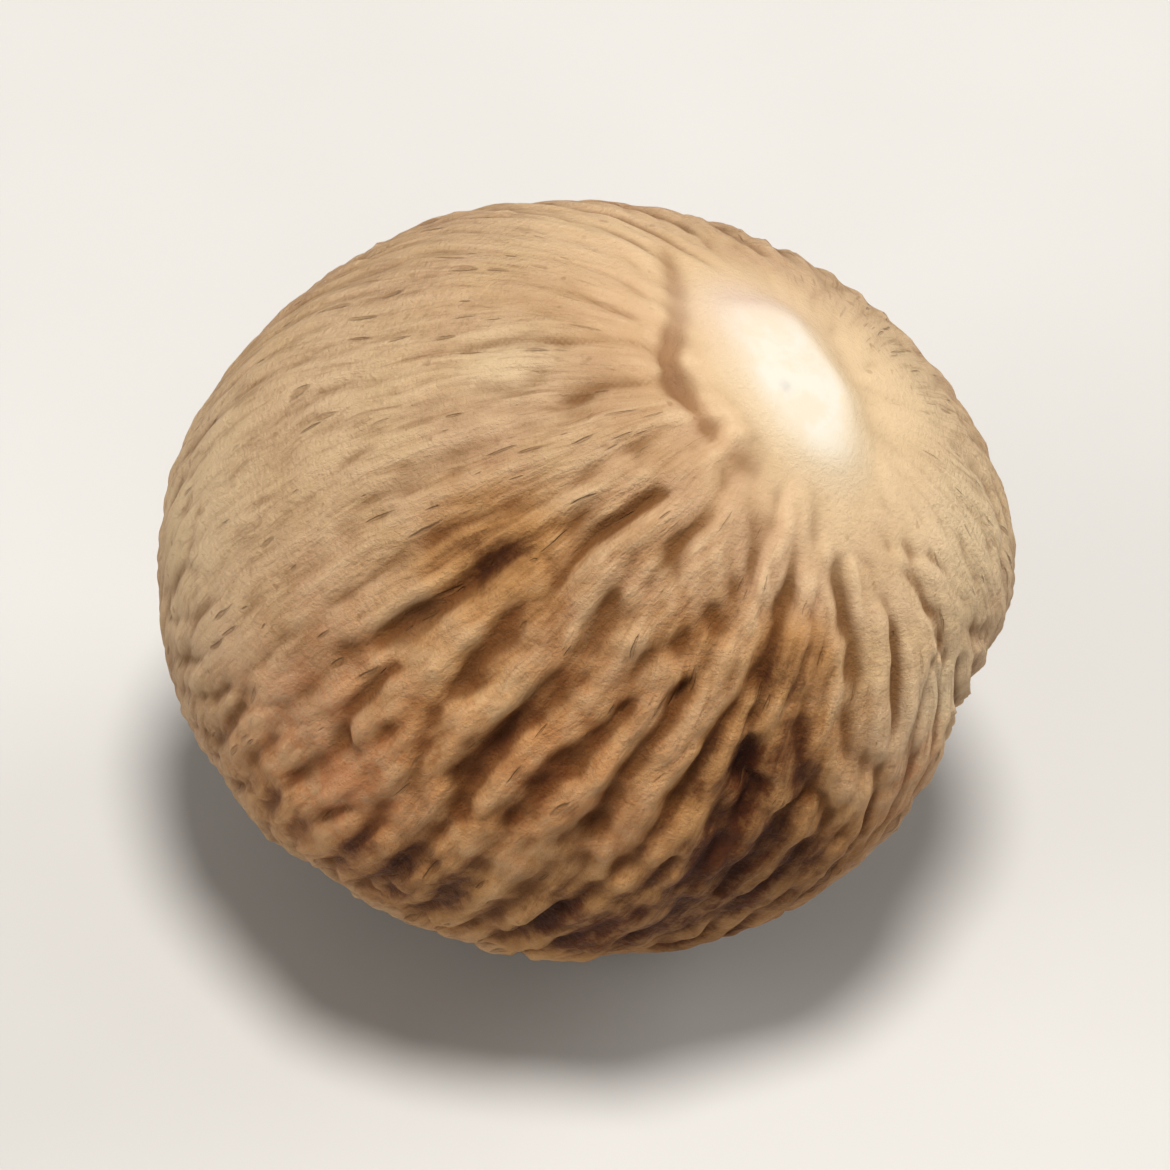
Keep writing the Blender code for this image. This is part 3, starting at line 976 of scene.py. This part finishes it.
def specks_group():
    """Scattered small dots: a mask that is 1 in a dot."""
    tree, given, mask = effect_group("specks", "Mask", Spacing=1.0, Radius=0.2, Share=0.5)
    shaken = node(tree, "ShaderNodeTexNoise", {"Vector": given["Place"], "Scale": 4.0, "Detail": 0.0})
    nudge = node(tree, "ShaderNodeVectorMath", {
        0: shaken.outputs["Color"], "Scale": 0.22}, operation="SCALE").outputs[0]
    nudged = node(tree, "ShaderNodeVectorMath", {0: given["Place"], 1: nudge}, operation="ADD")
    cells = node(tree, "ShaderNodeTexVoronoi", {
        "Vector": nudged.outputs[0],
        "Scale": maths(tree, "DIVIDE", 1.0, given["Spacing"]),
        "Randomness": 1.0,
    })
    split = node(tree, "ShaderNodeSeparateColor", {"Color": cells.outputs["Color"]}).outputs
    radius = times(tree, given["Radius"], ramp(tree, split[1], 0.0, 1.0, 0.35, 1.0))
    inner = times(tree, radius, 0.45)
    dot = ramp(tree, cells.outputs["Distance"], inner, radius, 1.0, 0.0)
    chosen = maths(tree, "LESS_THAN", split[0], given["Share"])
    tree.links.new(times(tree, dot, chosen), mask)
    return tree


def grain_group():
    """The finest roughness: a height from 0 to 1."""
    tree, given, height = effect_group("grain", "Height", Size=0.2)
    tree.links.new(noise_in_group(tree, given, 5.0, 0.68), height)
    return tree


def hairlines_group():
    """Thin, wandering lines, where a noise crosses its middle value: a mask that is 1 on a line."""
    tree, given, mask = effect_group("hairlines", "Mask", Size=1.0, Width=0.06)
    cloud = noise_in_group(tree, given, 3.0, 0.55, 0.4)
    off_middle = maths(tree, "ABSOLUTE", maths(tree, "SUBTRACT", cloud, 0.5))
    tree.links.new(ramp(tree, off_middle, 0.0, given["Width"], 1.0, 0.0), mask)
    return tree


MOTTLING = mottling_group()
HAIRLINES = hairlines_group()
SPECKS = specks_group()
GRAIN = grain_group()

# %% [markdown]
# ## The skin's material
#
# The colours are laid on as a painter would: a tan ground that drifts between warm, pink and
# grey, with paler patches of which two are partly painted highlight, streaks along the folds, a
# dusting of pale buff on the ridges and brown in the valleys.
# Brown and reddish stains then deepen all of that without hiding it, so they come last and are
# multiplied in; the brown one is partly real stain and partly painted shade, darkest over the
# lower front and along the bottom. Over them lie small marks, the groove's reddish line, and the
# scar, which is cream and waxy. All of it goes into one Principled shader, so the scar has no
# hard border.

# %% Colours of the skin
TAN = (0.44, 0.285, 0.148, 1.0)
WARM_TAN = (0.355, 0.210, 0.104, 1.0)
PINK_TAN = (0.45, 0.285, 0.190, 1.0)
BUFF = (0.62, 0.455, 0.285, 1.0)
UMBER = (0.160, 0.070, 0.020, 1.0)
DEEP_BROWN = (0.075, 0.025, 0.005, 1.0)
ROSY_BROWN = (0.32, 0.165, 0.080, 1.0)
BROWN_STAIN_AND_SHADE = (0.85, 0.665, 0.43, 1.0)
DARK_STAIN_AND_SHADE = (0.25, 0.135, 0.058, 1.0)
ROSY_STAIN = (0.95, 0.70, 0.60, 1.0)
CREAM = (0.550, 0.525, 0.460, 1.0)
WARM_CREAM = (0.54, 0.44, 0.31, 1.0)
PINK_CREAM = (0.55, 0.415, 0.345, 1.0)
PALE_BUFF = (0.62, 0.485, 0.305, 1.0)
GREY_PORE = (0.36, 0.34, 0.33, 1.0)
PIT_BROWN = (0.050, 0.024, 0.018, 1.0)

# %% How much of each layer shows
PINK_SHARE = 0.40
PALE_AND_HIGHLIGHT_SHARE = 0.80
LIGHT_STREAK_SHARE = 0.34
DARK_STREAK_SHARE = 0.50
DUST_SHARE = 0.50
LINE_SHARE = 0.30
VALLEY_SHARE = 0.82
HAIRLINE_SHARE = 0.62
DEEP_SHARE = 0.70
SPECK_SHARE = 0.36
DASH_SHARE = 0.42
HALO_SHARE = 0.42
GROOVE_SHARE = 0.38
SCAR_SPECK_SHARE = 0.45
PIT_SHARE = 0.9

# %% From the tan ground to the scar


def new_material(name):
    """An empty material with one Principled shader, and its node tree."""
    material = bpy.data.materials.new(name)
    material.use_nodes = True
    tree = material.node_tree
    return material, tree, tree.nodes["Principled BSDF"]


def ground_colour(tree, place, streak, small_cloud, ridge):
    """The tan ground with paler patches, two of them partly painted highlight, its streaks along the
    folds, and the pale dust on its ridges.
    """
    cloud = use_group(tree, MOTTLING, Place=place, Size=4.5)
    pink_cloud = use_group(tree, MOTTLING, Place=place, Size=2.6, Roughness=0.7)
    colour = blend(tree, cloud, TAN, WARM_TAN)
    colour = blend(tree, times(tree, pink_cloud, PINK_SHARE), colour, PINK_TAN)
    # Paler patches, two of them partly painted highlight.
    colour = blend(tree, times(tree, attribute(tree, "pale"), PALE_AND_HIGHLIGHT_SHARE), colour, PALE_BUFF)
    colour = blend(tree, ramp(tree, streak, 0.46, 0.72, 0.0, LIGHT_STREAK_SHARE), colour, BUFF)
    colour = blend(tree, ramp(tree, streak, 0.50, 0.28, 0.0, DARK_STREAK_SHARE), colour, UMBER)
    dust = ramp(tree, ridge, 0.0, -1.4, 0.0, DUST_SHARE)
    return blend(tree, times(tree, dust, ramp(tree, small_cloud, 0.0, 1.0, 0.35, 1.0)), colour, BUFF)


def stained_and_shaded(tree, colour, small_cloud, streak, deep):
    """The colour after the stains: the brown one, partly real stain and partly painted shade, runs along
    the folds and spares the ridges.
    """
    stain_and_shade = attribute(tree, "stain_and_shade")
    stain_and_shade = times(tree, stain_and_shade, ramp(tree, small_cloud, 0.0, 1.0, 0.80, 1.05))
    stain_and_shade = times(tree, stain_and_shade, ramp(tree, streak, 0.35, 0.65, 1.10, 0.88))
    stain_and_shade = times(tree, stain_and_shade, ramp(tree, deep, -0.7, 0.3, 0.86, 1.10))
    # Painted shade: the brown and the dark tints are partly a real stain and partly shade, darkest over
    # the lower front and along the bottom.
    colour = blend(tree, ramp(tree, stain_and_shade, 0.0, 0.55), colour, BROWN_STAIN_AND_SHADE, "MULTIPLY")
    colour = blend(tree, ramp(tree, stain_and_shade, 0.35, 1.0), colour, DARK_STAIN_AND_SHADE, "MULTIPLY")
    rosy = times(tree, attribute(tree, "rosy"), ramp(tree, small_cloud, 0.1, 0.9, 0.3, 1.0))
    return blend(tree, rosy, colour, ROSY_STAIN, "MULTIPLY")


def skin_colour(tree, place, streak, lines):
    """The colour of the skin, from the values stored on the mesh."""
    hair = attribute(tree, "hairline")
    deep = attribute(tree, "furrow")
    small_cloud = use_group(tree, MOTTLING, Place=place, Size=1.1, Roughness=0.75)
    colour = ground_colour(tree, place, streak, small_cloud, hair)
    colour = blend(tree, times(tree, lines, LINE_SHARE), colour, UMBER)
    colour = blend(tree, ramp(tree, deep, -0.05, 0.80, 0.0, VALLEY_SHARE), colour, UMBER)
    colour = blend(tree, ramp(tree, hair, 0.05, 1.5, 0.0, HAIRLINE_SHARE), colour, UMBER)
    colour = blend(tree, ramp(tree, deep, 0.7, 1.8, 0.0, DEEP_SHARE), colour, DEEP_BROWN)
    return stained_and_shaded(tree, colour, small_cloud, streak, deep)


def scar_colour(tree, place):
    """The waxy cream of the scar, with a warm drift and a few faint specks."""
    cloud = use_group(tree, MOTTLING, Place=place, Size=1.4, Roughness=0.6)
    colour = blend(tree, ramp(tree, cloud, 0.0, 1.0, 0.0, 0.5), CREAM, WARM_CREAM)
    speck = use_group(tree, SPECKS, Place=place, Spacing=0.9, Radius=0.16, Share=0.4)
    return blend(tree, times(tree, speck, SCAR_SPECK_SHARE), colour, PALE_BUFF)


def with_scar_and_pit(tree, colour, place, scar):
    """The skin's colour with the halo, the groove, the scar and the pit laid over it in turn."""
    colour = blend(tree, times(tree, attribute(tree, "scar_halo"), HALO_SHARE), colour, PALE_BUFF)
    colour = blend(tree, times(tree, attribute(tree, "groove"), GROOVE_SHARE), colour, ROSY_BROWN)
    colour = blend(tree, attribute(tree, "scar_collar"), colour, WARM_CREAM)
    colour = blend(tree, attribute(tree, "blush"), colour, PINK_CREAM)
    colour = blend(tree, scar, colour, scar_colour(tree, place))
    colour = blend(tree, attribute(tree, "pore"), colour, GREY_PORE)
    return blend(tree, times(tree, attribute(tree, "pit"), PIT_SHARE), colour, PIT_BROWN)


# %% The skin's one shader
SKIN_ROUGHNESS = (0.60, 0.82)
SCAR_ROUGHNESS = 0.42
BUMP_DISTANCE = 0.17 * MM
BUMP_STRENGTH = 0.95
SKIN_SPECULAR = 0.16


def in_millimetres(tree):
    """Each point's place in the object, in millimetres, so that sizes read as on the real thing."""
    spot = node(tree, "ShaderNodeTexCoord").outputs["Object"]
    return node(tree, "ShaderNodeVectorMath", {0: spot, "Scale": 1.0 / MM}, operation="SCALE").outputs[0]


def skin_bump(tree, grain, streak, dash, scar, streaky):
    """The normal of the finest relief, which fades out on the scar and round it."""
    bumps = maths(tree, "ADD", grain, times(tree, streak, 0.9))
    bumps = maths(tree, "SUBTRACT", bumps, times(tree, dash, 0.55))
    bumps = times(tree, bumps, ramp(tree, scar, 0.0, 1.0, 1.0, 0.2))
    bumps = times(tree, bumps, ramp(tree, streaky, 0.0, 1.0, 0.45, 1.0))
    bump = node(tree, "ShaderNodeBump", {
        "Height": bumps, "Strength": BUMP_STRENGTH, "Distance": BUMP_DISTANCE})
    return bump.outputs["Normal"]


def finish_skin():
    """The kernel's material: skin, scar, groove and pit in one shader."""
    material, tree, shader = new_material("kernel_skin")
    place = in_millimetres(tree)
    along = node(tree, "ShaderNodeAttribute", attribute_name="along_folds").outputs["Vector"]
    streaky = attribute(tree, "streaky")
    scar = attribute(tree, "scar")
    streak = node(tree, "ShaderNodeTexNoise", {
        "Vector": along, "Scale": 2.4, "Detail": 5.0, "Roughness": 0.65}).outputs["Fac"]
    streak = between(tree, streaky, 0.5, streak)
    patches = use_group(tree, MOTTLING, Place=place, Size=1.6, Roughness=0.7)
    lines = use_group(tree, HAIRLINES, Place=along, Size=0.75, Width=0.060)
    lines = times(tree, times(tree, lines, patches), streaky)
    speck = use_group(tree, SPECKS, Place=place, Spacing=0.62, Radius=0.26, Share=0.30)
    dash = use_group(tree, SPECKS, Place=along, Spacing=0.30, Radius=0.34, Share=0.45)
    dash = times(tree, dash, streaky)
    marks = maths(tree, "MAXIMUM", times(tree, speck, SPECK_SHARE), times(tree, dash, DASH_SHARE))
    colour = blend(tree, marks, skin_colour(tree, place, streak, lines), UMBER)
    colour = with_scar_and_pit(tree, colour, place, scar)
    grain = use_group(tree, GRAIN, Place=place, Size=0.20)
    rough = between(tree, scar, ramp(tree, grain, 0.3, 0.7, *SKIN_ROUGHNESS), SCAR_ROUGHNESS)
    feed(tree, shader, {
        "Base Color": colour,
        "Roughness": rough,
        "Normal": skin_bump(tree, grain, streak, dash, scar, streaky),
        "Specular IOR Level": SKIN_SPECULAR,
    })
    return material


kernel_mesh.materials.append(finish_skin())
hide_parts("nutmeg")
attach(kernel, "root")

# %% [markdown]
# ## Floor, light and camera
#
# The floor is a plain pale disc, wide enough to reach past every view. The main light comes
# from almost overhead, as the sun does at noon through a blind, so that the folds throw small
# shadows downwards. Two wider, weaker lights and a pale sky fill them. A lamp near the kernel
# would leave the floor dark further off, so all three shine evenly from far away, and the sky
# is palest along the horizon, behind the floor's edge. A long lens keeps the kernel's shape
# free of distortion.

# %% The floor
FLOOR_RADIUS = 3.0
FLOOR_GAP = 0.02 * MM
FLOOR_SEGMENTS = 96
FLOOR_GREY = (0.45, 0.445, 0.438, 1.0)
FLOOR_WHITE = (0.47, 0.466, 0.460, 1.0)
FLOOR_ROUGHNESS = (0.84, 0.94)
FLOOR_SPECULAR = 0.2


def make_floor():
    """A wide, pale disc just under the kernel."""
    bm = bmesh.new()
    bmesh.ops.create_circle(bm, cap_ends=True, segments=FLOOR_SEGMENTS, radius=FLOOR_RADIUS)
    bmesh.ops.translate(bm, vec=(0.0, 0.0, NUT_LOW.z - FLOOR_GAP), verts=bm.verts)
    mesh = bpy.data.meshes.new("floor")
    bm.to_mesh(mesh)
    bm.free()
    return new_object("floor", mesh)


def finish_floor():
    """Pale matt board, with a drift of tone and a grain that are only just there."""
    material, tree, shader = new_material("pale_board")
    place = in_millimetres(tree)
    cloud = use_group(tree, MOTTLING, Place=place, Size=40.0)
    grain = use_group(tree, GRAIN, Place=place, Size=0.5)
    feed(tree, shader, {
        "Base Color": blend(tree, cloud, FLOOR_GREY, FLOOR_WHITE),
        "Roughness": ramp(tree, grain, 0.3, 0.7, *FLOOR_ROUGHNESS),
        "Specular IOR Level": FLOOR_SPECULAR,
    })
    return material


floor = make_floor()
floor.data.materials.append(finish_floor())

# %% Light
nut_middle = (NUT_LOW + NUT_HIGH) / 2
SoftLight = namedtuple("SoftLight", "name side strength softness colour")
LIGHTS = (
    SoftLight("key_light", Vector((0.02, -0.05, 0.36)), 4.2, 14.0, (1.0, 0.965, 0.91)),
    SoftLight("fill_from_the_left", Vector((-0.34, -0.14, 0.16)), 1.1, 32.0, (1.0, 0.95, 0.88)),
    SoftLight("fill_from_the_right", Vector((0.33, 0.10, 0.20)), 1.2, 32.0, (1.0, 0.97, 0.93)),
)
SKY_COLOUR = (1.0, 0.975, 0.94, 1.0)
SKY_STRENGTH = 0.26
HORIZON_STRENGTH = 0.85
HORIZON_BAND = (0.02, 0.16)


def aimed_object(name, data, side, distance=1.0):
    """A lamp or a camera that points at the kernel's middle from this side."""
    made = new_object(name, data)
    made.location = nut_middle + side * distance
    made.rotation_euler = (-side).to_track_quat("-Z", "Y").to_euler()
    return made


def add_light(light):
    """A wide, even light from one side, which spans softness degrees of the sky."""
    lamp = bpy.data.lights.new(light.name, "SUN")
    lamp.angle = math.radians(light.softness)
    lamp.energy = light.strength
    lamp.color = light.colour
    aimed_object(light.name, lamp, light.side)


def pale_sky():
    """A sky that is pale along the horizon, behind the kernel, and dimmer above."""
    world = bpy.data.worlds.new("pale_sky")
    world.use_nodes = True
    tree = world.node_tree
    towards = node(tree, "ShaderNodeTexCoord").outputs["Generated"]
    height = node(tree, "ShaderNodeSeparateXYZ", {"Vector": towards}).outputs["Z"]
    strength = ramp(tree, height, *HORIZON_BAND, HORIZON_STRENGTH, SKY_STRENGTH)
    feed(tree, tree.nodes["Background"], {"Color": SKY_COLOUR, "Strength": strength})
    return world


for light in LIGHTS:
    add_light(light)
bpy.context.scene.world = pale_sky()
bpy.context.scene.view_settings.view_transform = "Standard"
print("lights:", [light.name for light in LIGHTS])

# %% Camera
CAMERA_ELEVATION = 50.0
LENS = 500.0
SENSOR = 36.0
SHARE_OF_FRAME = 0.74


def make_camera():
    """A camera in front, looking down at the kernel, far enough back to frame it."""
    data = bpy.data.cameras.new("camera")
    data.lens = LENS
    data.sensor_width = SENSOR
    data.clip_start = 0.01
    data.clip_end = 10.0
    tilt = math.radians(CAMERA_ELEVATION)
    side = Vector((0.0, -math.cos(tilt), math.sin(tilt)))
    width = max(NUT_HIGH - NUT_LOW) / SHARE_OF_FRAME
    return aimed_object("camera", data, side, width * LENS / SENSOR)


bpy.context.scene.camera = make_camera()
